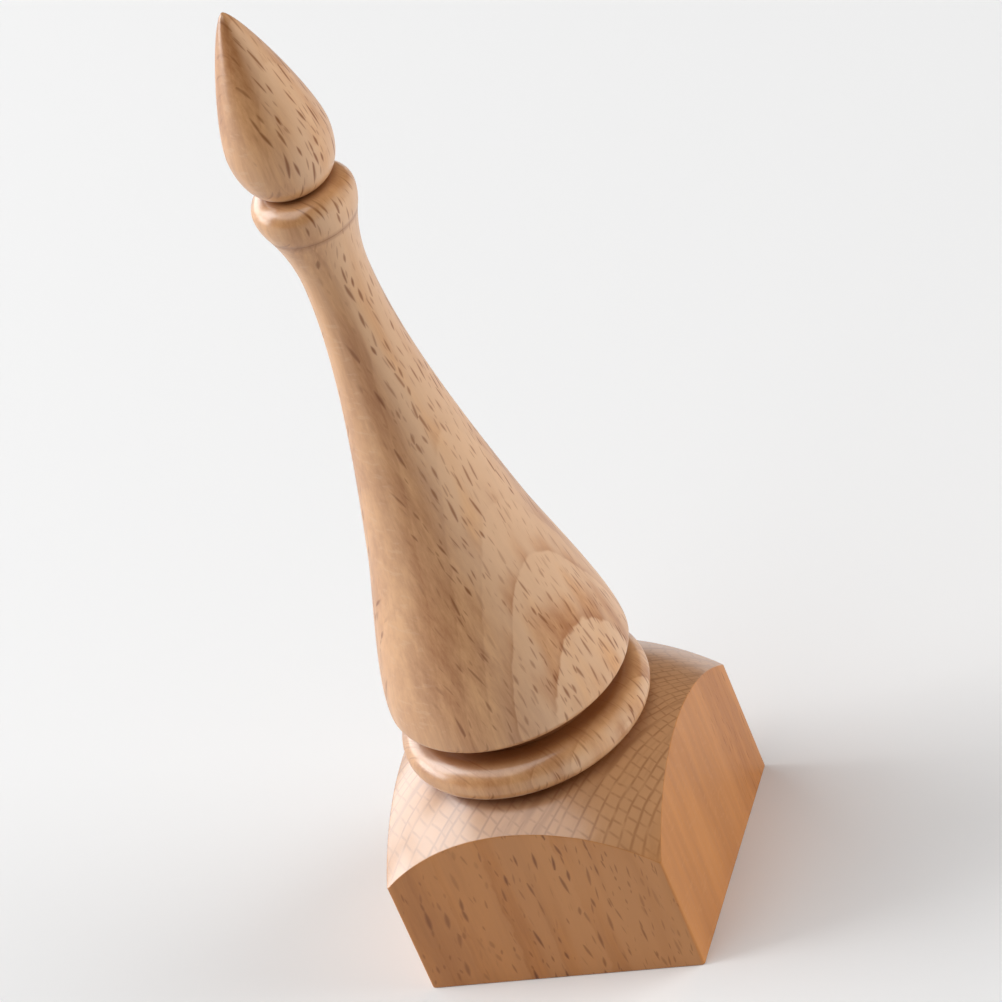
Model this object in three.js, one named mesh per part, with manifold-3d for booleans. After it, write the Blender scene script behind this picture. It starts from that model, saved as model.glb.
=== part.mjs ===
// A turned beech finial for the top of a bed, chair or stair post.
//
// Five visible beech pieces are stacked on the finial's axis: a square plinth with a domed top, a bead ring,
// a drop-shaped body that tapers to a slim neck, a collar bead and a flame. They are glued on two fluted
// dowels. A steel threaded insert in the underside takes the bolt that holds the finial on its post.
//
// Millimetres, +Z up. The origin is the centre of the plinth's underside.

import * as THREE from "three";
import { mergeVertices } from "three/addons/utils/BufferGeometryUtils.js";
import Module from "manifold-3d";

// ---- Driving dimensions ----------------------------------------------------------------------------

const BLOCK_SIDE = 50; // the square stock that the plinth is cut from
const PLINTH_HEIGHT = 36; // underside to the seat of the bead ring
const RING_HEIGHT = 7.4;
const BODY_HEIGHT = 100; // foot to the crease under the collar
const COLLAR_HEIGHT = 7.4;
const FLAME_HEIGHT = 33.2;

const GLUE_LINE = 0.1; // between faces glued end to end
const CLEARANCE = 0.3; // round a dowel or the insert, where the glue or the wood's crushed fibre sits

// Levels of the four joints and of the flame's tip
const RING_SEAT = PLINTH_HEIGHT;
const BODY_SEAT = RING_SEAT + RING_HEIGHT;
const COLLAR_SEAT = BODY_SEAT + BODY_HEIGHT;
const FLAME_SEAT = COLLAR_SEAT + COLLAR_HEIGHT;
const TIP = FLAME_SEAT + FLAME_HEIGHT;

// Plinth
const DOME_RADIUS = 45.8; // the top is turned to part of a sphere, which leaves an arch on each side
const DOME_CENTRE = -5.9;
const PLINTH_EDGE_EASE = 0.4; // flat sanded along each upright edge

// Bead ring
const RING_RADIUS = 21.9;
const RING_LEVEL = 39.4; // its widest level, a little below the middle
const RING_CORE_RADIUS = 17.8; // where the bead starts, top and bottom

// Body
const FOOT_RADIUS = 16; // the foot stands in the shadow between the body and the ring
const BELLY_RADIUS = 21.3;
const BELLY_LEVEL = 48.7;
const BELLY_ROUND = 2.3; // rounding of the body's lower rim
const BELLY_PULL = 6.5; // straight pull of the curve from the belly to the waist, at both ends
const WAIST_RADIUS = 14.1; // where the body's curve changes from swelling to hollow
const WAIST_LEVEL = 78.7;
const WAIST_SLOPE = 0.23; // radius lost for each millimetre of height there
const WAIST_PULL = 16; // straight pull of the curve from the waist to the neck, at both ends
const NECK_RADIUS = 5.6;
const NECK_LEVEL = 132;
const NECK_PULL = 5; // straight pull of the flare's curve at the neck
const CREASE_RADIUS = 7.7; // top of the flare, where the collar sits
const CREASE_LEAN = [1, 2.6]; // how far out and up the flare runs into the crease

// Collar bead
const COLLAR_RADIUS = 8.7;
const COLLAR_LEVEL = 147.5;
const COLLAR_TOP_RADIUS = 5;
const COLLAR_LEAN = [0.55, 1.2]; // how far out and up the bead leaves the crease
const COLLAR_PULL = 1.5; // straight pull of the bead's lower curve at its widest level

// Flame
const FLAME_RADIUS = 8.7;
const FLAME_LEVEL = 159.1;
const FLAME_BASE_RADIUS = 4.4;
const FLAME_PULL = 5.4; // straight pull of the side's curve above the widest level
const TIP_RADIUS = 0.35; // the point is just blunted
const TIP_LEAN = [2.2, 2]; // how far in and up the side runs to the point

// Dowels
const BASE_DOWEL_RADIUS = 6;
const BASE_DOWEL_BOTTOM = 22.5;
const BASE_DOWEL_LENGTH = 45;
const TIP_DOWEL_RADIUS = 2.5;
const TIP_DOWEL_BOTTOM = 132;
const TIP_DOWEL_LENGTH = 30;
const FLUTES = 12;
const FLUTE_SHARE = 0.07; // depth of a flute as a share of the dowel's radius
const DOWEL_CHAMFER = 0.6;

// Threaded insert, M8 by 18
const INSERT_RECESS = 0.5; // the flange lies this far inside the underside
const INSERT_FLANGE_RADIUS = 8;
const INSERT_FLANGE = 1.5;
const INSERT_LENGTH = 18;
const INSERT_RADIUS = 6; // crests of the coarse outer thread
const INSERT_ROOT_RADIUS = 5.2;
const INSERT_PITCH = 2.5;
const INSERT_BORE_RADIUS = 3.35; // M8 minor diameter
const HEX_ACROSS_FLATS = 8;
const HEX_DEPTH = 5;
const BOLT_PILOT_RADIUS = 4.3; // hole through the plinth's core, for the end of the bolt

// Fineness of the turned pieces
const ROUND_SIDES = 40;
const SMALL_SIDES = 24;

// ---- Materials -------------------------------------------------------------------------------------

const wood = (color) => new THREE.MeshStandardMaterial({ color, roughness: 0.45, metalness: 0 });
const TURNED_BEECH = wood(0xc2976f);
const PLINTH_BEECH = wood(0xb07f58);
const DOWEL_BEECH = wood(0xd0a983);
const ZINC_STEEL = new THREE.MeshStandardMaterial({ color: 0xc4c3bb, roughness: 0.35, metalness: 1 });

// ---- Shape helpers ---------------------------------------------------------------------------------

const wasm = await Module();
wasm.setup();

// A closed three.js geometry as a manifold-3d solid.
function toSolid(geometry) {
  const bare = geometry.clone();
  bare.deleteAttribute("normal");
  bare.deleteAttribute("uv");
  const merged = mergeVertices(bare, 1e-4);
  return new wasm.Manifold(
    new wasm.Mesh({
      numProp: 3,
      vertProperties: merged.attributes.position.array,
      triVerts: new Uint32Array(merged.index.array),
    }),
  );
}

// A manifold-3d solid as a three.js geometry.
function toGeometry(solid) {
  const mesh = solid.getMesh();
  const geometry = new THREE.BufferGeometry();
  geometry.setAttribute("position", new THREE.BufferAttribute(mesh.vertProperties, 3));
  geometry.setIndex(new THREE.BufferAttribute(mesh.triVerts, 1));
  geometry.computeVertexNormals();
  return geometry;
}

// A solid turned about Z. The outline is a path of (radius, height) that runs anticlockwise round the
// section, from the axis to the axis or back to its own start. Curves take the given number of divisions.
function turned(outline, divisions, sides) {
  return new THREE.LatheGeometry(outline.getPoints(divisions), sides).rotateX(Math.PI / 2);
}

// A quarter of an ellipse from one (radius, height) to another, as a bezier that leaves the first point
// straight along the radius or straight up the axis.
const QUARTER = 0.5523; // handle length that makes a cubic bezier follow a quarter ellipse
function quarter(path, from, to, leavesAlongRadius) {
  const [dr, dz] = [to[0] - from[0], to[1] - from[1]];
  const first = leavesAlongRadius ? [from[0] + QUARTER * dr, from[1]] : [from[0], from[1] + QUARTER * dz];
  const second = leavesAlongRadius ? [to[0], to[1] - QUARTER * dz] : [to[0] - QUARTER * dr, to[1]];
  path.bezierCurveTo(...first, ...second, ...to);
}

// ---- Pieces ----------------------------------------------------------------------------------------

// Square block with a turned dome. A stepped hole runs through it: a recess and bore for the insert below,
// a pilot for the bolt's end, and the base dowel's hole above.
function plinthBlock() {
  const half = BLOCK_SIDE / 2;
  const flange = INSERT_FLANGE_RADIUS + CLEARANCE;
  const barrel = INSERT_RADIUS + CLEARANCE;
  const flangeTop = INSERT_RECESS + INSERT_FLANGE + GLUE_LINE;
  const barrelTop = INSERT_RECESS + INSERT_LENGTH + CLEARANCE;
  const dowelHole = BASE_DOWEL_RADIUS + CLEARANCE;
  const dowelHoleBottom = BASE_DOWEL_BOTTOM - CLEARANCE;
  const stockRadius = BLOCK_SIDE * 0.75; // past the corners, so that the square cuts it
  const domeAngle = (radius) => Math.acos(radius / DOME_RADIUS);
  const seatRadius = Math.sqrt(DOME_RADIUS ** 2 - (PLINTH_HEIGHT - DOME_CENTRE) ** 2);

  const outline = new THREE.Path();
  outline.moveTo(flange, 0);
  outline.lineTo(stockRadius, 0);
  outline.absarc(0, DOME_CENTRE, DOME_RADIUS, domeAngle(stockRadius), domeAngle(seatRadius));
  outline.lineTo(dowelHole, PLINTH_HEIGHT);
  outline.lineTo(dowelHole, dowelHoleBottom);
  outline.lineTo(BOLT_PILOT_RADIUS, dowelHoleBottom);
  outline.lineTo(BOLT_PILOT_RADIUS, barrelTop);
  outline.lineTo(barrel, barrelTop);
  outline.lineTo(barrel, flangeTop);
  outline.lineTo(flange, flangeTop);
  outline.lineTo(flange, 0);

  const ease = PLINTH_EDGE_EASE;
  const square = new THREE.Shape([
    new THREE.Vector2(half, ease - half),
    new THREE.Vector2(half, half - ease),
    new THREE.Vector2(half - ease, half),
    new THREE.Vector2(ease - half, half),
    new THREE.Vector2(-half, half - ease),
    new THREE.Vector2(-half, ease - half),
    new THREE.Vector2(ease - half, -half),
    new THREE.Vector2(half - ease, -half),
  ]);
  const prism = new THREE.ExtrudeGeometry(square, { depth: 2 * BLOCK_SIDE, bevelEnabled: false });
  prism.translate(0, 0, -BLOCK_SIDE);
  return toGeometry(toSolid(turned(outline, 6, ROUND_SIDES)).intersect(toSolid(prism)));
}

// Round bead on a flat ring, threaded on the base dowel.
function baseRing() {
  const hole = BASE_DOWEL_RADIUS + CLEARANCE;
  const [bottom, top] = [RING_SEAT + GLUE_LINE, BODY_SEAT];
  const outline = new THREE.Path();
  outline.moveTo(hole, bottom);
  outline.lineTo(RING_CORE_RADIUS, bottom);
  quarter(outline, [RING_CORE_RADIUS, bottom], [RING_RADIUS, RING_LEVEL], true);
  quarter(outline, [RING_RADIUS, RING_LEVEL], [RING_CORE_RADIUS, top], false);
  outline.lineTo(hole, top);
  outline.lineTo(hole, bottom);
  return turned(outline, 5, ROUND_SIDES);
}

// Foot, rounded belly, long ogee taper, slim neck and the flare under the collar.
function spindleBody() {
  const dowelHole = BASE_DOWEL_RADIUS + CLEARANCE;
  const dowelHoleTop = BASE_DOWEL_BOTTOM + BASE_DOWEL_LENGTH + CLEARANCE;
  const tipHole = TIP_DOWEL_RADIUS + CLEARANCE;
  const tipHoleBottom = TIP_DOWEL_BOTTOM - CLEARANCE;
  const bottom = BODY_SEAT + GLUE_LINE;
  const rim = BELLY_LEVEL - BELLY_ROUND; // level of the rim's flat underside

  const outline = new THREE.Path();
  outline.moveTo(0, dowelHoleTop);
  outline.lineTo(dowelHole, dowelHoleTop);
  outline.lineTo(dowelHole, bottom);
  outline.lineTo(FOOT_RADIUS, bottom);
  outline.lineTo(FOOT_RADIUS, rim);
  outline.lineTo(BELLY_RADIUS - BELLY_ROUND, rim);
  quarter(outline, [BELLY_RADIUS - BELLY_ROUND, rim], [BELLY_RADIUS, BELLY_LEVEL], true);
  outline.bezierCurveTo(
    BELLY_RADIUS,
    BELLY_LEVEL + BELLY_PULL,
    WAIST_RADIUS + WAIST_SLOPE * BELLY_PULL,
    WAIST_LEVEL - BELLY_PULL,
    WAIST_RADIUS,
    WAIST_LEVEL,
  );
  outline.bezierCurveTo(
    WAIST_RADIUS - WAIST_SLOPE * WAIST_PULL,
    WAIST_LEVEL + WAIST_PULL,
    NECK_RADIUS,
    NECK_LEVEL - WAIST_PULL,
    NECK_RADIUS,
    NECK_LEVEL,
  );
  outline.bezierCurveTo(
    NECK_RADIUS,
    NECK_LEVEL + NECK_PULL,
    CREASE_RADIUS - CREASE_LEAN[0],
    COLLAR_SEAT - CREASE_LEAN[1],
    CREASE_RADIUS,
    COLLAR_SEAT,
  );
  outline.lineTo(tipHole, COLLAR_SEAT);
  outline.lineTo(tipHole, tipHoleBottom);
  outline.lineTo(0, tipHoleBottom);
  return turned(outline, 7, ROUND_SIDES);
}

// Small bead between the neck's flare and the flame, threaded on the tip dowel.
function collarRing() {
  const hole = TIP_DOWEL_RADIUS + CLEARANCE;
  const [bottom, top] = [COLLAR_SEAT + GLUE_LINE, FLAME_SEAT];
  const outline = new THREE.Path();
  outline.moveTo(hole, bottom);
  outline.lineTo(CREASE_RADIUS, bottom);
  outline.bezierCurveTo(
    CREASE_RADIUS + COLLAR_LEAN[0],
    bottom + COLLAR_LEAN[1],
    COLLAR_RADIUS,
    COLLAR_LEVEL - COLLAR_PULL,
    COLLAR_RADIUS,
    COLLAR_LEVEL,
  );
  quarter(outline, [COLLAR_RADIUS, COLLAR_LEVEL], [COLLAR_TOP_RADIUS, top], false);
  outline.lineTo(hole, top);
  outline.lineTo(hole, bottom);
  return turned(outline, 5, SMALL_SIDES);
}

// Pointed bud. It is widest low down, and its side runs nearly straight to the point.
function flameTip() {
  const hole = TIP_DOWEL_RADIUS + CLEARANCE;
  const holeTop = TIP_DOWEL_BOTTOM + TIP_DOWEL_LENGTH + CLEARANCE;
  const bottom = FLAME_SEAT + GLUE_LINE;
  const outline = new THREE.Path();
  outline.moveTo(0, holeTop);
  outline.lineTo(hole, holeTop);
  outline.lineTo(hole, bottom);
  outline.lineTo(FLAME_BASE_RADIUS, bottom);
  quarter(outline, [FLAME_BASE_RADIUS, bottom], [FLAME_RADIUS, FLAME_LEVEL], true);
  outline.bezierCurveTo(
    FLAME_RADIUS,
    FLAME_LEVEL + FLAME_PULL,
    TIP_RADIUS + TIP_LEAN[0],
    TIP - TIP_LEAN[1],
    TIP_RADIUS,
    TIP,
  );
  outline.lineTo(0, TIP);
  return turned(outline, 8, SMALL_SIDES);
}

// Dowel with straight flutes for the glue and chamfered ends.
function flutedDowel(radius, bottom, length) {
  const section = new THREE.Shape();
  for (let i = 0; i < FLUTES; i++) {
    const ridge = (share) => new THREE.Vector2(radius, 0).rotateAround(
      new THREE.Vector2(),
      ((i + share) / FLUTES) * 2 * Math.PI,
    );
    const valley = ridge(0.5).multiplyScalar(1 - FLUTE_SHARE);
    const points = [ridge(-0.25), ridge(0.25), valley];
    points.forEach((p, k) => (i + k === 0 ? section.moveTo(p.x, p.y) : section.lineTo(p.x, p.y)));
  }
  section.closePath();
  const dowel = new THREE.ExtrudeGeometry(section, {
    depth: length - 2 * DOWEL_CHAMFER,
    bevelThickness: DOWEL_CHAMFER,
    bevelSize: DOWEL_CHAMFER,
    bevelOffset: -DOWEL_CHAMFER,
    bevelSegments: 1,
  });
  return dowel.translate(0, 0, bottom + DOWEL_CHAMFER);
}

// Flanged barrel with a coarse outer thread, drawn as rings of the same pitch, and a hexagon for the key.
function threadedInsert() {
  const face = INSERT_RECESS;
  const end = face + INSERT_LENGTH;
  const threadStart = face + INSERT_FLANGE;
  const outline = new THREE.Path();
  outline.moveTo(INSERT_BORE_RADIUS, face);
  outline.lineTo(INSERT_FLANGE_RADIUS, face);
  outline.lineTo(INSERT_FLANGE_RADIUS, threadStart);
  outline.lineTo(INSERT_ROOT_RADIUS, threadStart);
  for (let z = threadStart + INSERT_PITCH; z < end - INSERT_PITCH / 2; z += INSERT_PITCH) {
    outline.lineTo(INSERT_ROOT_RADIUS, z - INSERT_PITCH / 3);
    outline.lineTo(INSERT_RADIUS, z);
    outline.lineTo(INSERT_ROOT_RADIUS, z + INSERT_PITCH / 3);
  }
  outline.lineTo(INSERT_ROOT_RADIUS, end);
  outline.lineTo(INSERT_BORE_RADIUS, end);
  outline.lineTo(INSERT_BORE_RADIUS, face);

  const hexRadius = HEX_ACROSS_FLATS / 2 / Math.cos(Math.PI / 6);
  const hexagon = new THREE.CylinderGeometry(hexRadius, hexRadius, 2 * HEX_DEPTH, 6);
  hexagon.rotateX(Math.PI / 2).translate(0, 0, face);
  return toGeometry(toSolid(turned(outline, 1, SMALL_SIDES)).subtract(toSolid(hexagon)));
}

// ---- Assembly --------------------------------------------------------------------------------------

const finial = new THREE.Group();

function add(name, geometry, material) {
  const piece = new THREE.Mesh(geometry, material);
  piece.name = name;
  finial.add(piece);
}

add("plinth_block", plinthBlock(), PLINTH_BEECH);
add("base_ring", baseRing(), TURNED_BEECH);
add("spindle_body", spindleBody(), TURNED_BEECH);
add("collar_ring", collarRing(), TURNED_BEECH);
add("flame_tip", flameTip(), TURNED_BEECH);
add("base_dowel", flutedDowel(BASE_DOWEL_RADIUS, BASE_DOWEL_BOTTOM, BASE_DOWEL_LENGTH), DOWEL_BEECH);
add("tip_dowel", flutedDowel(TIP_DOWEL_RADIUS, TIP_DOWEL_BOTTOM, TIP_DOWEL_LENGTH), DOWEL_BEECH);
add("threaded_insert", threadedInsert(), ZINC_STEEL);

export default finial;
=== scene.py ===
# Looks of the turned beech finial: fine meshes of its pieces, beech and zinc, light and camera.

import math
from dataclasses import dataclass

import bmesh
import bpy
import numpy as np
from mathutils import Matrix, Vector


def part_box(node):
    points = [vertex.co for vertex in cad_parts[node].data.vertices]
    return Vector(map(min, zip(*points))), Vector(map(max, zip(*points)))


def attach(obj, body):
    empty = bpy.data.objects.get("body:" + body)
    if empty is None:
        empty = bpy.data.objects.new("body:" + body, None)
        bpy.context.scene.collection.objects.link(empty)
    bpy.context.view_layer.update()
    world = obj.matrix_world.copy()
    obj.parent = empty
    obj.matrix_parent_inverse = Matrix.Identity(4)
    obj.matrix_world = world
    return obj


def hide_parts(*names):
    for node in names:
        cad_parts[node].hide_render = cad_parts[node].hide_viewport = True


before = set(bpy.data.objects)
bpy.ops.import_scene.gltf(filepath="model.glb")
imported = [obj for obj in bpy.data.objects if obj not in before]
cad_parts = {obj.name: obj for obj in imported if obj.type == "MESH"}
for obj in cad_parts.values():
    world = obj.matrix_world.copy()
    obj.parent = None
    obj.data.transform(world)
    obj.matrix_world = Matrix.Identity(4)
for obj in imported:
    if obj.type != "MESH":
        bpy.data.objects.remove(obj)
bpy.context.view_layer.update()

MM = 0.001
TINY = 0.001 * MM  # points closer than this count as one

# ---- Levels and radii, from the frame ------------------------------------------------------------


def span(node):
    """The levels of a node's underside and top."""
    low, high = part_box(node)
    return low.z, high.z


def reach(node):
    """How far a node's surface goes from the axis along +X."""
    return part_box(node)[1].x


GLUE_LINE = 0.04 * MM  # closer than in the frame, where the pieces need air between them
PLINTH_BOTTOM, PLINTH_TOP = span("plinth_block")
RING_BOTTOM, RING_TOP = PLINTH_TOP + GLUE_LINE, span("base_ring")[1]
BODY_BOTTOM, BODY_TOP = RING_TOP + GLUE_LINE, span("spindle_body")[1]
COLLAR_BOTTOM, COLLAR_TOP = BODY_TOP + GLUE_LINE, span("collar_ring")[1]
FLAME_BOTTOM, FLAME_TOP = COLLAR_TOP + GLUE_LINE, span("flame_tip")[1]
BASE_DOWEL_BOTTOM, BASE_DOWEL_TOP = span("base_dowel")
TIP_DOWEL_BOTTOM, TIP_DOWEL_TOP = span("tip_dowel")
INSERT_BOTTOM, INSERT_TOP = span("threaded_insert")

CLEARANCE = 0.3 * MM  # between a dowel and its bore
BASE_DOWEL_RADIUS = 6 * MM
TIP_DOWEL_RADIUS = 2.5 * MM
BASE_HOLE = BASE_DOWEL_RADIUS + CLEARANCE
TIP_HOLE = TIP_DOWEL_RADIUS + CLEARANCE
NECK_CREASE = 7.7 * MM  # radius at which the collar grows out of the neck's flare

# ---- Outlines ------------------------------------------------------------------------------------

# An outline is a list of (radius, level) points that runs anticlockwise round half of a piece's
# section. The functions bezier, straight and quarter give one stretch of it without its last point.

STEP = 0.35 * MM  # along a curved stretch
FINE_STEP = STEP / 2  # along a small bead
COARSE_STEP = 2 * MM  # along a flat face or a bore


def strides(start, end, step, least):
    """Even shares of the way from start to end, from 0 and short of 1."""
    return np.linspace(0, 1, max(least, round(math.dist(start, end) / step)), endpoint=False)


def bezier(start, leaving, arriving, end, step=STEP):
    """A curve that leaves its start towards one handle and comes to its end from the other."""
    p0, p1, p2, p3 = (np.array(p) for p in (start, leaving, arriving, end))
    t = strides(start, end, step, 8)[:, None]
    points = (1 - t) ** 3 * p0 + 3 * (1 - t) ** 2 * t * p1 + 3 * (1 - t) * t**2 * p2 + t**3 * p3
    return points.tolist()


def straight(start, end, step=STEP):
    """A straight line."""
    t = strides(start, end, step, 1)[:, None]
    return ((1 - t) * np.array(start) + t * np.array(end)).tolist()


def quarter(start, end, leaves_along_radius, step=STEP):
    """A quarter of an ellipse, which leaves its start along the radius or along the axis."""
    turn = strides(start, end, step, 6) * math.pi / 2
    slow, fast = 1 - np.cos(turn), np.sin(turn)
    along_r, along_z = (fast, slow) if leaves_along_radius else (slow, fast)
    radii = start[0] + (end[0] - start[0]) * along_r
    levels = start[1] + (end[1] - start[1]) * along_z
    return np.stack([radii, levels], 1).tolist()


# ---- Meshes --------------------------------------------------------------------------------------

SIDES = 192  # directions round a turned piece
SHARP = math.radians(38)  # an edge that turns by more isn't shaded smooth


def directions(count):
    """This many even directions round the axis."""
    return np.linspace(0, 2 * math.pi, count, endpoint=False)


def stand(outline, turn):
    """The section with this outline, upright in a direction from the axis."""
    return [(r * math.cos(turn), r * math.sin(turn), z) for r, z in outline]


def turned(name, outline, closed):
    """A piece with the same outline all round."""
    return skin(name, [stand(outline, turn) for turn in directions(SIDES)], closed)


def skin(name, sections, closed):
    """A piece over its sections, which go once round the axis. A section is closed, or it is open
    and runs from axis to axis."""
    sections = np.asarray(sections)
    count, length = sections.shape[:2]
    here = np.arange(count * length).reshape(count, length)
    there = np.roll(here, -1, axis=0)
    if closed:
        here = np.concatenate([here, here[:, :1]], 1)
        there = np.concatenate([there, there[:, :1]], 1)
    quads = np.stack([here[:, :-1], there[:, :-1], there[:, 1:], here[:, 1:]], -1).reshape(-1, 4)
    mesh = bpy.data.meshes.new(name)
    mesh.from_pydata(sections.reshape(-1, 3).tolist(), [], quads.tolist())
    if not closed:
        merge_poles(mesh)
    mesh.shade_smooth()
    mesh.set_sharp_from_angle(angle=SHARP)
    piece = bpy.data.objects.new(name, mesh)
    bpy.context.scene.collection.objects.link(piece)
    return piece


def merge_poles(mesh):
    """Joins the points that every open section has on the axis."""
    work = bmesh.new()
    work.from_mesh(mesh)
    poles = [v for v in work.verts if math.hypot(v.co.x, v.co.y) < TINY]
    bmesh.ops.remove_doubles(work, verts=poles, dist=TINY)
    work.to_mesh(mesh)
    work.free()


def place(piece, node, material):
    """Puts a finished piece in the model, in place of its CAD node."""
    piece.data.materials.append(material)
    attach(piece, "root")
    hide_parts(node)


# ---- Pieces --------------------------------------------------------------------------------------

DOME_RADIUS = 45.8 * MM
DOME_CENTRE = -5.9 * MM  # level of the middle of the dome's sphere
CORNER_ROUND = 0.5 * MM  # of the plinth's upright edges
EDGE_ROUND = 0.35 * MM  # of its other edges, broken with fine paper


def arc(centre, radius, turns):
    """Points of a circle in these directions from its centre."""
    return [(centre[0] + radius * math.cos(a), centre[1] + radius * math.sin(a)) for a in turns]


def onward(start, end, count):
    """This many even steps from start to end, without start."""
    return np.linspace(start, end, count + 1)[1:]


def square_plan(half, side_steps=60, corner_steps=6):
    """Points round a square with rounded corners, anticlockwise from the +X side's -Y end."""
    flat = half - CORNER_ROUND
    side = [(half, y) for y in np.linspace(-flat, flat, side_steps, endpoint=False)]
    turn = np.linspace(0, math.pi / 2, corner_steps, endpoint=False)
    corner = arc((flat, flat), CORNER_ROUND, turn)
    quarters = [np.array(side + corner)]
    for _ in range(3):
        x, y = quarters[-1].T
        quarters.append(np.stack([-y, x], 1))
    return np.concatenate(quarters)


def plinth_outline(out):
    """The plinth's section where its side is this far out. Each of its stretches has a fixed number
    of points, so that all sections have as many."""
    flange, barrel, pilot = 8.3 * MM, 6.3 * MM, 4.3 * MM  # radii of the bore's steps
    flange_top, barrel_top, dowel_floor = 2.1 * MM, 18.8 * MM, BASE_DOWEL_BOTTOM - CLEARANCE
    floor = PLINTH_BOTTOM
    # The rounded edge between the side and the dome touches both, so its centre is in the dome.
    round_r = out - EDGE_ROUND
    round_z = DOME_CENTRE + math.sqrt((DOME_RADIUS - EDGE_ROUND) ** 2 - round_r**2)
    lean = math.atan2(round_z - DOME_CENTRE, round_r)
    seat = math.sqrt(DOME_RADIUS**2 - (PLINTH_TOP - DOME_CENTRE) ** 2)
    seat_lean = math.atan2(PLINTH_TOP - DOME_CENTRE, seat)

    outline = [(flange, floor)]
    outline += [(r, floor) for r in onward(flange, round_r, 23)]
    outline += arc((round_r, floor + EDGE_ROUND), EDGE_ROUND, onward(-math.pi / 2, 0, 5))
    outline += [(out, z) for z in onward(floor + EDGE_ROUND, round_z, 25)]
    outline += arc((round_r, round_z), EDGE_ROUND, onward(0, lean, 6))
    outline += arc((0, DOME_CENTRE), DOME_RADIUS, onward(lean, seat_lean, 31))
    outline += [(r, PLINTH_TOP) for r in onward(seat, BASE_HOLE, 7)]
    outline += [(BASE_HOLE, z) for z in onward(PLINTH_TOP, dowel_floor, 7)]
    outline += [(pilot, dowel_floor), (pilot, barrel_top), (barrel, barrel_top)]
    outline += [(barrel, flange_top), (flange, flange_top)]
    return outline


def plinth_block():
    """Square block with a turned dome. A section stands in the direction of each point of its plan."""
    plan = square_plan(reach("plinth_block"))
    sections = [stand(plinth_outline(math.hypot(x, y)), math.atan2(y, x)) for x, y in plan]
    return skin("plinth", sections, closed=True)


def base_ring():
    """Round bead, flat above and below."""
    core, out, level = 17.8 * MM, reach("base_ring"), 39.4 * MM
    outline = straight((BASE_HOLE, RING_BOTTOM), (core, RING_BOTTOM), COARSE_STEP)
    outline += quarter((core, RING_BOTTOM), (out, level), True, FINE_STEP)
    outline += quarter((out, level), (core, RING_TOP), False, FINE_STEP)
    outline += straight((core, RING_TOP), (BASE_HOLE, RING_TOP), COARSE_STEP)
    outline += straight((BASE_HOLE, RING_TOP), (BASE_HOLE, RING_BOTTOM), COARSE_STEP)
    return turned("bead_ring", outline, closed=True)


def chatter(outline, low, high, pitch=1.6 * MM, depth=0.012 * MM):
    """The gouge's faint ripple between two levels of an outline, fading at both ends."""
    rippled = []
    for r, z in outline:
        share = min(1, max(0, (z - low) / (high - low)))
        height = depth * math.sin(math.pi * share) ** 2
        rippled.append((r + height * math.sin(2 * math.pi * z / pitch), z))
    return rippled


def spindle_body():
    """Foot in a cove, rounded belly, long ogee taper, slim neck and the flare under the collar."""
    hole_top = BASE_DOWEL_TOP + CLEARANCE
    tip_hole_bottom = TIP_DOWEL_BOTTOM - CLEARANCE
    foot, belly, waist, neck = 16 * MM, reach("spindle_body"), 14.1 * MM, 5.6 * MM
    belly_level, waist_level, neck_level = 48.7 * MM, 78.7 * MM, 132 * MM
    belly_round, cove = 2.3 * MM, 1.4 * MM
    slope = 0.23  # of the side at the waist, as radius over level
    belly_reach, neck_reach = 6.5 * MM, 16 * MM  # how far the curve's handles go up and down
    flare_rise, flare_drop, flare_in = 5 * MM, 2.6 * MM, 1 * MM
    rim = belly_level - belly_round

    side = bezier(
        (belly, belly_level),
        (belly, belly_level + belly_reach),
        (waist + slope * belly_reach, waist_level - belly_reach),
        (waist, waist_level),
    )
    side += bezier(
        (waist, waist_level),
        (waist - slope * neck_reach, waist_level + neck_reach),
        (neck, neck_level - neck_reach),
        (neck, neck_level),
    )
    side += bezier(
        (neck, neck_level),
        (neck, neck_level + flare_rise),
        (NECK_CREASE - flare_in, BODY_TOP - flare_drop),
        (NECK_CREASE, BODY_TOP),
    )
    outline = [(0, hole_top)]
    outline += straight((BASE_HOLE, hole_top), (BASE_HOLE, BODY_BOTTOM), COARSE_STEP)
    outline += straight((BASE_HOLE, BODY_BOTTOM), (foot, BODY_BOTTOM), COARSE_STEP)
    outline += straight((foot, BODY_BOTTOM), (foot, rim - cove))
    outline += quarter((foot, rim - cove), (foot + cove, rim), False)
    outline += quarter((foot + cove, rim), (belly, belly_level), True)
    outline += chatter(side, waist_level, neck_level - neck_reach)
    outline += straight((NECK_CREASE, BODY_TOP), (TIP_HOLE, BODY_TOP), COARSE_STEP / 2)
    outline += straight((TIP_HOLE, BODY_TOP), (TIP_HOLE, tip_hole_bottom), COARSE_STEP)
    outline += [(TIP_HOLE, tip_hole_bottom), (0, tip_hole_bottom)]
    return turned("body", outline, closed=False)


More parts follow.
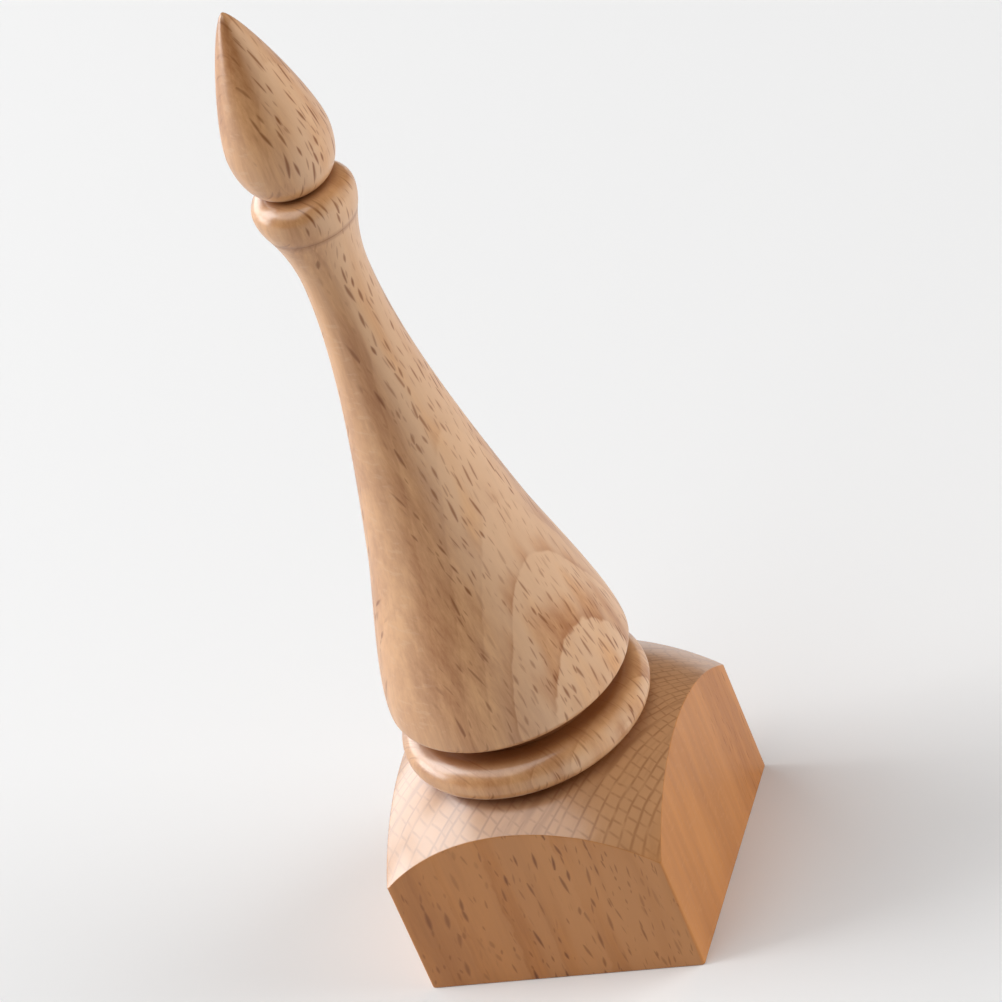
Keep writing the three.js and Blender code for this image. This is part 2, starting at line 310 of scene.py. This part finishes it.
def collar_ring():
    """Bead that grows out of the neck's flare and closes under the flame."""
    out, level, top = reach("collar_ring"), 147.5 * MM, 5 * MM
    flare_out, flare_rise, bead_drop = 0.55 * MM, 1.2 * MM, 1.5 * MM
    outline = straight((TIP_HOLE, COLLAR_BOTTOM), (NECK_CREASE, COLLAR_BOTTOM), COARSE_STEP / 2)
    outline += bezier(
        (NECK_CREASE, COLLAR_BOTTOM),
        (NECK_CREASE + flare_out, COLLAR_BOTTOM + flare_rise),
        (out, level - bead_drop),
        (out, level),
        FINE_STEP,
    )
    outline += quarter((out, level), (top, COLLAR_TOP), False, FINE_STEP)
    outline += straight((top, COLLAR_TOP), (TIP_HOLE, COLLAR_TOP), COARSE_STEP / 2)
    outline += straight((TIP_HOLE, COLLAR_TOP), (TIP_HOLE, COLLAR_BOTTOM), COARSE_STEP)
    return turned("collar", outline, closed=True)


def flame_tip():
    """Pointed bud over a blind hole."""
    hole_top = TIP_DOWEL_TOP + CLEARANCE
    base, out, level = 4.4 * MM, reach("flame_tip"), 159.1 * MM
    bud_rise, point_out, point_drop = 5.4 * MM, 2.2 * MM, 2 * MM
    tip, tip_step = 0.35 * MM, 0.05 * MM  # the tip's own rounding
    outline = [(0, hole_top)]
    outline += straight((TIP_HOLE, hole_top), (TIP_HOLE, FLAME_BOTTOM), COARSE_STEP)
    outline += straight((TIP_HOLE, FLAME_BOTTOM), (base, FLAME_BOTTOM))
    outline += quarter((base, FLAME_BOTTOM), (out, level), True, FINE_STEP)
    outline += bezier(
        (out, level),
        (out, level + bud_rise),
        (tip + point_out, FLAME_TOP - point_drop),
        (tip, FLAME_TOP - tip / 2),
    )
    outline += quarter((tip, FLAME_TOP - tip / 2), (0, FLAME_TOP), False, tip_step)
    outline += [(0, FLAME_TOP)]
    return turned("flame", outline, closed=False)


def fluted_dowel(name, out, bottom, top, flutes=12, depth=0.07, chamfer=0.6 * MM):
    """Dowel with rounded flutes, whose depth is a share of its radius, and chamfered ends."""
    sides_to_a_flute, step = 10, 3 * MM
    sections = []
    for turn in directions(flutes * sides_to_a_flute):
        groove = (0.5 - 0.5 * math.cos(flutes * turn)) ** 2
        r = out * (1 - depth * groove)
        outline = [(0, bottom), (r - chamfer, bottom)]
        outline += straight((r, bottom + chamfer), (r, top - chamfer), step)
        outline += [(r, top - chamfer), (r - chamfer, top), (0, top)]
        sections.append(stand(outline, turn))
    return skin(name, sections, closed=False)


def thread(turn, level, pitch, crest):
    """Height of a thread at a direction and level, from 0 in the root to 1 on the crest. The width
    of the crest is a share of the pitch."""
    phase = (level / pitch - turn / (2 * math.pi)) % 1
    flank = abs(phase - 0.5) * 2
    return min(1, max(0, (1 - flank) / (1 - crest)))


def threaded_insert():
    """Flanged barrel with a coarse thread outside, an M8 thread inside and a hexagon in its mouth."""
    flange, flange_thick, ease = 8 * MM, 1.5 * MM, 0.25 * MM
    crest, root, coarse_pitch, run_out = 6 * MM, 5.2 * MM, 2.5 * MM, 1.5 * MM
    major, minor, pitch = 4 * MM, 3.35 * MM, 1.25 * MM
    coarse_crest, fine_crest = 0.1, 0.2  # widths, as shares of the pitches
    flat, mouth_depth = 4 * MM, 5 * MM  # from the hexagon's middle to a side, and how deep it goes
    chamfer, clear = 0.3 * MM, 0.2 * MM
    sides, outside_step, inside_step = 144, 0.12 * MM, 0.1 * MM
    bottom, top = INSERT_BOTTOM, INSERT_TOP
    neck, mouth_end = bottom + flange_thick, bottom + mouth_depth
    outside = np.arange(neck + clear, top - 2 * clear, outside_step)
    inside = np.arange(top - chamfer - clear, mouth_end + clear, -inside_step)
    sections = []
    for turn in directions(sides):
        side = (turn + math.pi / 6) % (math.pi / 3) - math.pi / 6
        hexagon = flat / math.cos(side)
        outline = [(hexagon + ease, bottom), (flange - ease, bottom), (flange, bottom + ease)]
        outline += [(flange, neck - ease), (flange - ease, neck), (root, neck)]
        for z in outside:
            fade = min(1, (z - neck) / run_out, (top - z) / run_out)
            height = thread(turn, z, coarse_pitch, coarse_crest) * fade
            outline.append((root + (crest - root) * height, z))
        outline += [(root, top - chamfer), (root - chamfer, top), (major + clear, top)]
        for z in inside:
            outline.append((major - (major - minor) * thread(turn, z, pitch, fine_crest), z))
        outline += [(minor, mouth_end), (hexagon, mouth_end), (hexagon, bottom + ease)]
        sections.append(stand(outline, turn))
    return skin("insert", sections, closed=True)


# ---- Nodes of a material -------------------------------------------------------------------------


def srgb(red, green, blue):
    """A colour as it shows on a screen, from 0 to 255, as the linear colour that a shader takes."""
    shares = (c / 255 for c in (red, green, blue))
    linear = [c / 12.92 if c <= 0.04045 else ((c + 0.055) / 1.055) ** 2.4 for c in shares]
    return (*linear, 1)


class Graph:
    """The node tree of a material. An input is a number, a tuple or another node's output."""

    def __init__(self, name):
        self.material = bpy.data.materials.new(name)
        self.material.use_nodes = True
        self.tree = self.material.node_tree
        self.tree.nodes.clear()

    def feed(self, socket, value):
        """Links another node's output to an input, or sets the input's value."""
        if isinstance(value, bpy.types.NodeSocket):
            self.tree.links.new(value, socket)
        else:
            socket.default_value = value

    def add(self, kind, inputs, output=0, **settings):
        """Adds a node and gives one of its outputs."""
        node = self.tree.nodes.new("ShaderNode" + kind)
        for key, value in settings.items():
            setattr(node, key, value)
        for socket, value in inputs.items():
            self.feed(node.inputs[socket], value)
        return node.outputs[output]

    def calc(self, operation, *values):
        """One step of arithmetic. MULTIPLY_ADD is a * b + c."""
        return self.add("Math", dict(enumerate(values)), operation=operation)

    def vector(self, operation, *values):
        """The same for each part of a vector."""
        return self.add("VectorMath", dict(enumerate(values)), operation=operation)

    def length(self, vector):
        return self.add("VectorMath", {0: vector}, "Value", operation="LENGTH")

    def dot(self, a, b):
        return self.add("VectorMath", {0: a, 1: b}, "Value", operation="DOT_PRODUCT")

    def join(self, x, y, z):
        return self.add("CombineXYZ", {0: x, 1: y, 2: z})

    def split(self, vector):
        node = self.add("SeparateXYZ", {0: vector}).node
        return node.outputs[0], node.outputs[1], node.outputs[2]

    def ramp(self, value, low, high, start=0.0, end=1.0):
        """A smooth step of value from start at low to end at high."""
        inputs = {0: value, 1: low, 2: high, 3: start, 4: end}
        return self.add("MapRange", inputs, interpolation_type="SMOOTHSTEP")

    def noise(self, point, size, detail=2.0, rough=0.5):
        """Noise from 0 to 1 whose lumps have this (x, y, z) size."""
        stretched = self.vector("DIVIDE", point, size)
        inputs = {"Vector": stretched, "Scale": 1.0, "Detail": detail, "Roughness": rough}
        return self.add("TexNoise", inputs)

    def mix(self, share, a, b):
        """Colour a with a share of colour b."""
        node = self.tree.nodes.new("ShaderNodeMix")
        node.data_type = "RGBA"
        inputs = {"Factor": share, "A": a, "B": b}
        for socket in node.inputs:
            if socket.enabled and socket.name in inputs:
                self.feed(socket, inputs[socket.name])
        return next(socket for socket in node.outputs if socket.enabled)

    def finish(self, **inputs):
        """The surface: a Principled shader with these inputs, named with _ for each space."""
        shader = self.add("BsdfPrincipled", {key.replace("_", " "): v for key, v in inputs.items()})
        output = self.tree.nodes.new("ShaderNodeOutputMaterial")
        self.tree.links.new(shader, output.inputs["Surface"])
        return self.material


MILLIMETRES = (1 / MM,) * 3  # turns a place in metres into millimetres

# ---- Beech ---------------------------------------------------------------------------------------

# The pattern fills the wood. It is worked out in the log's own directions, in millimetres: out from
# the pith, round it and up. A tuple of three lengths in a noise or a ray goes in these directions.


@dataclass
class Blank:
    """The piece of a log that a part is cut from. Lengths are in millimetres."""

    facing: float  # direction from the pith to the finial's axis, in radians
    pith: float  # from the pith to the finial's axis
    ring_width: float
    ring_shift: float  # of all the rings, in ring widths
    ring_depth: float  # how strongly the rings show
    ray_half: tuple  # half the size of a large ray
    ray_spacing: tuple  # from one large ray to the next
    radial: tuple  # the normal's share round the pith where silver grain starts and where it's full
    seed: float  # of the rays' places
    light: tuple
    dark: tuple
    pale: tuple  # of wood between the rings, and of the silver grain
    ray_colour: tuple
    end_colour: tuple
    end_lines: float  # how strongly the fine lines of the end grain show
    lacquer: float  # shine of upright faces, against 1 on level ones


# Radius and level of each groove between two pieces, how far the painted shade round it spreads,
# and how dark it is. This shade stands in for the shadow that falls in the grooves.
GROOVES = (
    (18.5 * MM, PLINTH_TOP, 4.0 * MM, 0.8),
    (17.0 * MM, RING_TOP + 0.8 * MM, 4.8 * MM, 0.85),
    (NECK_CREASE, BODY_TOP, 1.0 * MM, 0.3),
    (5.0 * MM, COLLAR_TOP + 0.3 * MM, 2.4 * MM, 0.7),
)


def log_frame(g, blank):
    """A point's place in the piece, its place in the log with the wander of the grain, and how far
    the surface faces out from the pith, round it and up."""
    coordinates = g.add("TexCoord", {}).node.outputs
    point = g.vector("MULTIPLY", coordinates["Object"], MILLIMETRES)
    bent = point
    for size, sway in (((30, 30, 60), 2.4), ((7, 7, 11), 0.7)):
        stretched = g.vector("DIVIDE", point, size)
        drift = g.add("TexNoise", {"Vector": stretched, "Scale": 1.0, "Detail": 0.0}, "Color")
        drift = g.vector("SUBTRACT", drift, (0.5, 0.5, 0.5))
        bent = g.vector("MULTIPLY_ADD", drift, (sway, sway, 0.0), bent)
    outward = (math.cos(blank.facing), math.sin(blank.facing), 0.0)
    across = (-math.sin(blank.facing), math.cos(blank.facing), 0.0)
    upward = (0.0, 0.0, 1.0)
    u = g.calc("ADD", g.dot(bent, outward), blank.pith)
    v = g.dot(bent, across)
    out = g.length(g.join(u, v, 0.0))
    around = g.calc("MULTIPLY", g.calc("ARCTAN2", v, u), blank.pith)
    up = g.split(point)[2]
    normal = coordinates["Normal"]
    normal = g.join(g.dot(normal, outward), g.dot(normal, across), g.split(normal)[2])
    radial = g.vector("NORMALIZE", g.join(u, v, 0.0))
    tangent = g.vector("CROSS_PRODUCT", upward, radial)
    shares = [g.calc("ABSOLUTE", g.dot(normal, axis)) for axis in (radial, tangent, upward)]
    return point, g.join(out, around, up), shares


def growth_rings(g, blank, log, out_share):
    """How much the rings lighten or darken the wood, and how much of it is late wood."""
    out = g.split(log)[0]
    ragged = g.noise(log, (2.0, 1.6, 3.0))
    uneven = g.noise(g.join(out, 0.0, 0.0), (9, 1, 1), detail=0.0)
    ring = g.calc("MULTIPLY_ADD", ragged, 0.16, blank.ring_shift)
    ring = g.calc("MULTIPLY_ADD", uneven, 1.2, ring)
    ring = g.calc("ADD", g.calc("DIVIDE", out, blank.ring_width), ring)
    year = g.add("TexWhiteNoise", {"W": g.calc("FLOOR", ring)}, noise_dimensions="1D")
    part = g.calc("FRACT", ring)
    ending = g.ramp(part, 0.93, 1.0, start=1.0, end=0.0)
    late = g.calc("MULTIPLY", g.ramp(part, 0.1, 0.93), ending)
    ring_line = g.calc("MULTIPLY", g.ramp(part, 0.82, 0.93), ending)
    rings = g.calc("MULTIPLY_ADD", late, -1.0, g.calc("MULTIPLY_ADD", year, 0.3, 0.35))
    rings = g.calc("MULTIPLY_ADD", ring_line, -0.5, rings)

    # Rings show best on flat-sawn faces and on the side that lay towards the bark.
    flat_sawn = g.ramp(out_share, 0.3, 0.9, start=0.35)
    bark_side = g.ramp(out, blank.pith + 12, blank.pith + 16, start=0.4)
    strength = g.calc("MULTIPLY", flat_sawn, bark_side)
    return g.calc("MULTIPLY", rings, strength), g.calc("MULTIPLY", late, strength)


def side_grain(g, blank, log, out_share, fibre):
    """The wood between its rays, from dark to light, and pale where little late wood shows."""
    broad = g.noise(log, (9, 5, 45))
    streak = g.noise(log, (2.2, 1.1, 40))
    rings, late = growth_rings(g, blank, log, out_share)
    tone = g.ramp(broad, 0.25, 0.75, start=0.3, end=0.75)
    tone = g.calc("MULTIPLY_ADD", g.calc("SUBTRACT", streak, 0.5), 0.7, tone)
    tone = g.calc("MULTIPLY_ADD", g.calc("SUBTRACT", fibre, 0.5), 0.6, tone)
    tone = g.calc("MULTIPLY_ADD", rings, blank.ring_depth, tone)
    colour = g.mix(g.ramp(tone, -0.1, 1.1), blank.dark, blank.light)

    faded = g.calc("MULTIPLY_ADD", late, -0.25, g.noise(log, (5, 4, 35), detail=1.0))
    faded = g.calc("MULTIPLY", g.ramp(faded, 0.05, 0.5), g.ramp(out_share, 0.6, 0.95))
    return g.mix(g.calc("MULTIPLY", faded, 0.8), colour, blank.pale)


def ray_mask(g, log, out_share, half, spacing, seed):
    """The wood's rays where the surface cuts them: thin upright lenses of this half size, one to a
    cell. They vary in strength and length and lean a little."""
    cell = tuple(1 / s for s in spacing)
    cells = g.vector("MULTIPLY_ADD", log, cell, (seed, seed * 1.7, seed * 2.3))
    nearest = {"Vector": cells, "Scale": 1.0, "Randomness": 0.85}
    voronoi = g.add("TexVoronoi", nearest).node.outputs
    offset = g.vector("SUBTRACT", cells, voronoi["Position"])
    x, y, z = g.split(g.vector("MULTIPLY", offset, tuple(s / h for s, h in zip(spacing, half))))
    strength, length, lean = g.split(voronoi["Color"])
    y = g.calc("MULTIPLY_ADD", z, g.ramp(lean, 0, 1, start=-0.7, end=0.7), y)
    y = g.calc("DIVIDE", y, g.calc("MULTIPLY_ADD", out_share, 0.4, 0.6))
    z = g.calc("DIVIDE", z, g.ramp(length, 0, 1, start=0.5, end=1.3))
    lens = g.calc("SUBTRACT", 1, g.calc("ABSOLUTE", y))
    lens = g.calc("SUBTRACT", lens, g.calc("MULTIPLY", z, z))
    lens = g.calc("SUBTRACT", lens, g.calc("MULTIPLY", x, x))
    return g.calc("MULTIPLY", g.ramp(lens, 0, 0.85), g.ramp(strength, 0, 0.7, start=0.3))


def all_rays(g, blank, log, out_share):
    """Large rays with small, fainter ones between them, both fainter in some stretches."""
    large = ray_mask(g, log, out_share, blank.ray_half, blank.ray_spacing, blank.seed)
    small_half = tuple(0.6 * h for h in blank.ray_half)
    small_spacing = tuple(0.7 * s for s in blank.ray_spacing)
    small = ray_mask(g, log, out_share, small_half, small_spacing, blank.seed + 5.3)
    crowd = g.ramp(g.noise(log, (14, 10, 22), detail=1.0), 0.35, 0.55, start=0.75)
    return g.calc("MULTIPLY", g.calc("MAXIMUM", large, g.calc("MULTIPLY", small, 0.6)), crowd)


def end_grain_lines(g, log, ray_spacing=1.7, ring_spacing=2.1):
    """Fine lines of end grain: rays across, and rings that step where they cross a ray."""
    out, around, _ = g.split(log)
    waver = g.noise(log, (9, 3, 30), detail=1.0)
    across = g.calc("ADD", g.calc("DIVIDE", around, ray_spacing), g.calc("MULTIPLY", waver, 0.5))
    columns = {"W": across, "Scale": 1.0}
    line = {"voronoi_dimensions": "1D"}  # cells along one direction only
    edge = g.add("TexVoronoi", columns, "Distance", feature="DISTANCE_TO_EDGE", **line)
    column = g.add("TexVoronoi", columns, "Color", feature="F1", **line)
    step = g.calc("MULTIPLY", g.split(column)[0], 0.45)
    bent = g.calc("MULTIPLY_ADD", g.noise(log, (3, 2.5, 30), detail=1.0), 0.3, step)
    ring = g.calc("FRACT", g.calc("ADD", g.calc("DIVIDE", out, ring_spacing), bent))
    middle = g.calc("ABSOLUTE", g.calc("SUBTRACT", ring, 0.5))
    ring_line = g.ramp(middle, 0.0, 0.16, start=0.8, end=0.0)
    ray_line = g.ramp(edge, 0.0, 0.18, start=1.0, end=0.0)
    patchy = g.ramp(g.noise(log, (2.5, 1.2, 6), detail=1.0), 0.25, 0.6, start=0.3)
    lines = g.calc("MULTIPLY", g.calc("MAXIMUM", ring_line, ray_line), patchy)
    band = g.ramp(g.noise(log, (16, 1.6, 40), detail=1.0), 0.5, 0.75, end=0.9)
    return g.calc("MAXIMUM", lines, band)


def painted_crease_shade(g, point):
    """Painted shadow at a point, from 0 to 1, in and near the grooves between the pieces."""
    x, y, z = g.split(point)
    radius = g.length(g.join(x, y, 0.0))
    shade = 0.0
    for groove_radius, level, spread, darkest in GROOVES:
        beside = g.calc("SUBTRACT", radius, groove_radius / MM)
        above = g.calc("SUBTRACT", z, level / MM)
        away = g.length(g.join(beside, above, 0.0))
        here = g.ramp(away, 0.2 * spread / MM, spread / MM, start=darkest, end=0.0)
        shade = g.calc("MAXIMUM", shade, here)
    return shade


def beech(name, blank):
    """Beech cut from this blank, under a satin lacquer."""
    g = Graph(name)
    point, log, (out_share, around_share, up_share) = log_frame(g, blank)
    end = g.ramp(up_share, 0.45, 0.8)
    silver = g.ramp(around_share, *blank.radial)
    fibre = g.noise(log, (0.7, 0.35, 7), detail=3.0, rough=0.65)
    colour = side_grain(g, blank, log, out_share, fibre)

    # Rays are dark flecks on side grain. On silver grain they are pale flakes.
    hidden = g.calc("MAXIMUM", silver, g.calc("MULTIPLY", end, min(1, 2 * blank.end_lines)))
    rays = all_rays(g, blank, log, out_share)
    dark_rays = g.calc("MULTIPLY", rays, g.calc("SUBTRACT", 1, hidden))
    colour = g.mix(g.calc("MULTIPLY", dark_rays, 0.85), colour, blank.ray_colour)
    flake = g.ramp(g.noise(log, (3, 1.0, 0.8)), 0.57, 0.66)
    sheen = g.calc("MULTIPLY", g.calc("MULTIPLY_ADD", flake, 0.2, 0.25), silver)
    colour = g.mix(sheen, colour, blank.pale)

    shown = g.calc("MULTIPLY", end, blank.end_lines)
    lines = g.calc("MULTIPLY", end_grain_lines(g, log), shown)
    colour = g.mix(g.calc("MULTIPLY", end, 0.4 + 0.7 * blank.end_lines), colour, blank.end_colour)
    colour = g.mix(lines, colour, blank.ray_colour)
    # Painted shade: the colour darkens towards the ray colour round the grooves, where shadow falls.
    colour = g.mix(painted_crease_shade(g, point), colour, blank.ray_colour)

    pores = g.calc("MAXIMUM", dark_rays, lines)
    relief = g.calc("SUBTRACT", g.calc("MULTIPLY", fibre, 0.6), pores)
    bump = g.add("Bump", {"Height": relief, "Distance": 0.012 * MM, "Strength": 1.0})
    roughness = g.ramp(fibre, 0.2, 0.8, start=0.37, end=0.47)
    roughness = g.calc("ADD", roughness, g.calc("MULTIPLY", dark_rays, 0.1))
    return g.finish(
        Base_Color=colour,
        Roughness=roughness,
        Normal=bump,
        Specular_IOR_Level=0.3,
        Coat_Weight=g.ramp(up_share, 0.3, 0.75, start=blank.lacquer),
        Coat_Roughness=0.22,
        Coat_IOR=1.7,
    )


# ---- Other materials -----------------------------------------------------------------------------


def zinc():
    """Bright zinc plate with faint rolling marks and cloudy patches."""
    g = Graph("zinc_plate")
    point = g.vector("MULTIPLY", g.add("TexCoord", {}, "Object"), MILLIMETRES)
    cloud = g.noise(point, (2.5, 2.5, 2.5), detail=3.0)
    marks = g.noise(point, (0.8, 0.8, 0.08))
    colour = g.mix(g.ramp(cloud, 0.3, 0.7), srgb(206, 205, 196), srgb(178, 180, 176))
    roughness = g.calc("MULTIPLY_ADD", marks, 0.12, 0.18)
    roughness = g.calc("MULTIPLY_ADD", cloud, 0.25, roughness)
    bump = g.add("Bump", {"Height": marks, "Distance": 0.01 * MM, "Strength": 1.0})
    return g.finish(Base_Color=colour, Roughness=roughness, Normal=bump, Metallic=1.0)


def plain_floor():
    """Matt and pale."""
    g = Graph("pale_floor")
    return g.finish(Base_Color=(0.91, 0.91, 0.91, 1), Roughness=0.9)


def plain_wall():
    """Shines evenly by itself. Only the camera sees it, so it isn't sampled as a light."""
    g = Graph("pale_wall")
    pale, black = (0.82, 0.82, 0.82, 1), (0, 0, 0, 1)
    wall = g.finish(Base_Color=black, Emission_Color=pale, Emission_Strength=1.0)
    wall.cycles.emission_sampling = "NONE"
    return wall


# ---- The finial ----------------------------------------------------------------------------------

spindle_blank = Blank(
    facing=math.radians(-23),
    pith=140,
    ring_width=3.6,
    ring_shift=0.1,
    ring_depth=0.34,
    ray_half=(6, 0.33, 2.4),
    ray_spacing=(14, 1.5, 3.7),
    radial=(0.88, 0.97),
    seed=3.1,
    light=srgb(219, 166, 115),
    dark=srgb(164, 106, 61),
    pale=srgb(213, 174, 139),
    ray_colour=srgb(124, 64, 14),
    end_colour=srgb(209, 157, 109),
    end_lines=0.0,
    lacquer=0.35,
)
plinth_blank = Blank(
    facing=math.radians(-137),
    pith=55,
    ring_width=4.4,
    ring_shift=0.4,
    ring_depth=0.12,
    ray_half=(6, 0.35, 2.2),
    ray_spacing=(14, 1.9, 3.8),
    radial=(0.75, 0.93),
    seed=8.4,
    light=srgb(197, 129, 65),
    dark=srgb(162, 99, 43),
    pale=srgb(196, 136, 81),
    ray_colour=srgb(110, 53, 6),
    end_colour=srgb(197, 151, 110),
    end_lines=0.43,
    lacquer=0.2,
)
dowel_blank = Blank(
    facing=math.radians(40),
    pith=90,
    ring_width=3.2,
    ring_shift=0.7,
    ring_depth=0.3,
    ray_half=(5, 0.2, 1.6),
    ray_spacing=(12, 2.2, 4.8),
    radial=(0.8, 0.98),
    seed=6.2,
    light=srgb(224, 188, 152),
    dark=srgb(196, 154, 118),
    pale=srgb(226, 198, 170),
    ray_colour=srgb(146, 100, 70),
    end_colour=srgb(190, 146, 110),
    end_lines=0.5,
    lacquer=0.0,
)
spindle_beech = beech("spindle_beech", spindle_blank)
plinth_beech = beech("plinth_beech", plinth_blank)
dowel_beech = beech("dowel_beech", dowel_blank)

place(plinth_block(), "plinth_block", plinth_beech)
place(base_ring(), "base_ring", spindle_beech)
place(spindle_body(), "spindle_body", spindle_beech)
place(collar_ring(), "collar_ring", spindle_beech)
place(flame_tip(), "flame_tip", spindle_beech)
for node, thick, bottom, top in (
    ("base_dowel", BASE_DOWEL_RADIUS, BASE_DOWEL_BOTTOM, BASE_DOWEL_TOP),
    ("tip_dowel", TIP_DOWEL_RADIUS, TIP_DOWEL_BOTTOM, TIP_DOWEL_TOP),
):
    place(fluted_dowel(node + "_fluted", thick, bottom, top), node, dowel_beech)
place(threaded_insert(), "threaded_insert", zinc())

# ---- Floor, light and camera ---------------------------------------------------------------------

MIDDLE = Vector((0, 0, (PLINTH_BOTTOM + FLAME_TOP) / 2))


def floor(radius=1.6):
    """A pale round floor under the finial."""
    rim = [(radius * math.cos(a), radius * math.sin(a), PLINTH_BOTTOM) for a in directions(96)]
    mesh = bpy.data.meshes.new("floor")
    mesh.from_pydata(rim, [], [list(range(len(rim)))])
    mesh.materials.append(plain_floor())
    disc = bpy.data.objects.new("floor", mesh)
    bpy.context.scene.collection.objects.link(disc)


def backdrop(radius=5):
    """A pale wall all round, which only the camera sees, so that it sends no light to the finial."""
    work = bmesh.new()
    bmesh.ops.create_icosphere(work, subdivisions=4, radius=radius)
    mesh = bpy.data.meshes.new("backdrop")
    work.to_mesh(mesh)
    work.free()
    mesh.materials.append(plain_wall())
    wall = bpy.data.objects.new("backdrop", mesh)
    wall.visible_diffuse = wall.visible_glossy = False
    wall.visible_transmission = wall.visible_shadow = False
    bpy.context.scene.collection.objects.link(wall)


def direction(azimuth, elevation):
    """The way from the finial to a viewer at this azimuth and elevation, in degrees."""
    a, e = math.radians(azimuth), math.radians(elevation)
    return Vector((math.sin(a) * math.cos(e), -math.cos(a) * math.cos(e), math.sin(e)))


def window(name, azimuth, elevation, width, height, radiance, mirrored=True, distance=2.2):
    """A soft rectangular light that faces the finial's middle, with or without its reflection."""
    data = bpy.data.lights.new(name, "AREA")
    data.shape = "RECTANGLE"
    data.size, data.size_y = width, height
    data.energy = radiance * math.pi * width * height
    lamp = bpy.data.objects.new(name, data)
    away = direction(azimuth, elevation)
    lamp.location = MIDDLE + away * distance
    lamp.rotation_mode = "QUATERNION"
    lamp.rotation_quaternion = away.to_track_quat("Z", "Y")
    lamp.visible_camera = False
    lamp.visible_glossy = mirrored
    bpy.context.scene.collection.objects.link(lamp)


def surroundings(colour, strength):
    """A faint even light from everywhere."""
    world = bpy.data.worlds.new("room")
    world.use_nodes = True
    background = world.node_tree.nodes["Background"]
    background.inputs["Color"].default_value = colour
    background.inputs["Strength"].default_value = strength
    bpy.context.scene.world = world


def camera():
    """A long lens, tilted so that the finial leans to the left."""
    azimuth, elevation, tilt = 28.6, 33.6, math.radians(23.7)
    distance, nearest, farthest = 1.0035, 0.01, 100
    lens, sensor = 220, 36  # in millimetres
    target = Vector((0, 0, 87.5 * MM))
    aim_right, aim_down = 11.6 * MM, 2.2 * MM  # of the target, so that all of the finial is in view
    back = direction(azimuth, elevation)
    level_right = Vector((0, 0, 1)).cross(back).normalized()
    level_up = back.cross(level_right)
    right = level_right * math.cos(tilt) - level_up * math.sin(tilt)
    up = level_right * math.sin(tilt) + level_up * math.cos(tilt)
    eye = target + back * distance
    aim = target + right * aim_right - up * aim_down
    view = (eye - aim).normalized()
    right = (right - view * right.dot(view)).normalized()
    up = view.cross(right)
    data = bpy.data.cameras.new("camera")
    data.lens = lens
    data.sensor_width = sensor
    data.clip_start, data.clip_end = nearest, farthest
    holder = bpy.data.objects.new("camera", data)
    turn = Matrix((right, up, view)).transposed().to_4x4()
    holder.matrix_world = Matrix.Translation(eye) @ turn
    bpy.context.scene.collection.objects.link(holder)
    bpy.context.scene.camera = holder


floor()
backdrop()
surroundings((1, 1, 1, 1), 0.05)
window("window", azimuth=-119, elevation=15, width=1.45, height=1.0, radiance=3.75)
window("left", azimuth=-85, elevation=36, width=1.1, height=1.1, radiance=5.2)
window("left_low", azimuth=-82, elevation=9, width=1.2, height=0.8, radiance=5.9)
window("above", azimuth=-35, elevation=62, width=1.9, height=1.9, radiance=1.75)
window("right", azimuth=105, elevation=19, width=2.0, height=1.6, radiance=4.2, mirrored=False)
camera()
bpy.context.scene.view_settings.view_transform = "Standard"
